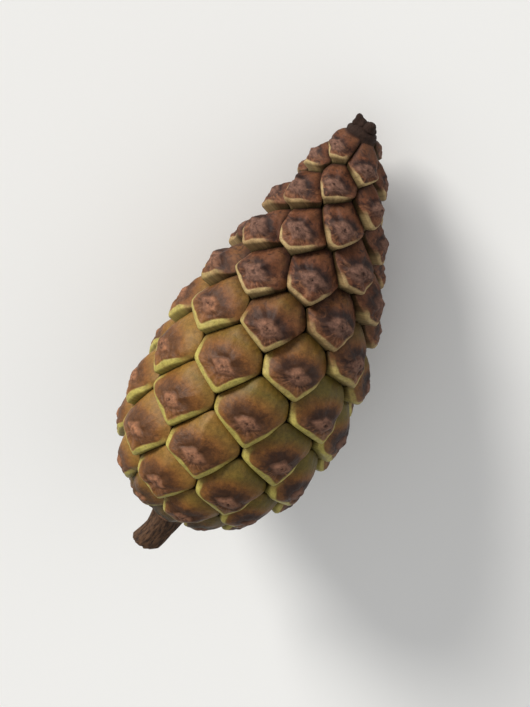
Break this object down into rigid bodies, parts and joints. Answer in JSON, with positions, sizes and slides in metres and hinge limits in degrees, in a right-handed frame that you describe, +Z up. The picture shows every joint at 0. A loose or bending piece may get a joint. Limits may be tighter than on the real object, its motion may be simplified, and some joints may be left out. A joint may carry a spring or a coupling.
{
  "type": "pine cone",
  "caption": "Closed, unripe green-brown pine cone with tight spiral scales on a short broken stalk, lying on its side as picked.",
  "frame": {"origin": "on the surface that the cone lies on, under the middle of its bounding box", "axes": "+X from the stalk towards the tip, level; +Z up; the cone lies on its side"},
  "size_m": [0.0474, 0.0204, 0.0207],
  "materials": {
    "stalk": "rough bark, matte",
    "lower_scale": "waxy, satin, yellow-green with brown bosses",
    "belly_scale": "waxy, satin, olive green to purple-brown with pale edges",
    "upper_scale": "satin, reddish brown with pale edges",
    "tip_scale": "dry, reddish brown with pale edges"
  },
  "bodies": {
    "root": {"stalk_axis": "stalk", "base_scales": "lower_scale", "scale_01": "lower_scale", "scale_02": "lower_scale", "scale_03": "lower_scale", "scale_04": "lower_scale", "scale_05": "lower_scale", "scale_06": "lower_scale", "scale_07": "lower_scale", "scale_08": "lower_scale", "scale_09": "lower_scale", "scale_10": "lower_scale", "scale_11": "lower_scale", "scale_12": "lower_scale", "scale_13": "lower_scale", "scale_14": "lower_scale", "scale_15": "lower_scale", "scale_16": "lower_scale", "scale_17": "belly_scale", "scale_18": "belly_scale", "scale_19": "belly_scale", "scale_20": "belly_scale", "scale_21": "belly_scale", "scale_22": "belly_scale", "scale_23": "belly_scale", "scale_24": "belly_scale", "scale_25": "belly_scale", "scale_26": "belly_scale", "scale_27": "belly_scale", "scale_28": "belly_scale", "scale_29": "belly_scale", "scale_30": "belly_scale", "scale_31": "belly_scale", "scale_32": "belly_scale", "scale_33": "belly_scale", "scale_34": "belly_scale", "scale_35": "belly_scale", "scale_36": "belly_scale", "scale_37": "upper_scale", "scale_38": "upper_scale", "scale_39": "upper_scale", "scale_40": "upper_scale", "scale_41": "upper_scale", "scale_42": "upper_scale", "scale_43": "upper_scale", "scale_44": "upper_scale", "scale_45": "upper_scale", "scale_46": "upper_scale", "scale_47": "upper_scale", "scale_48": "upper_scale", "scale_49": "upper_scale", "scale_50": "upper_scale", "scale_51": "upper_scale", "scale_52": "upper_scale", "scale_53": "upper_scale", "scale_54": "upper_scale", "scale_55": "upper_scale", "scale_56": "upper_scale", "tip_scales": "tip_scale"}
  },
  "joints": []
}
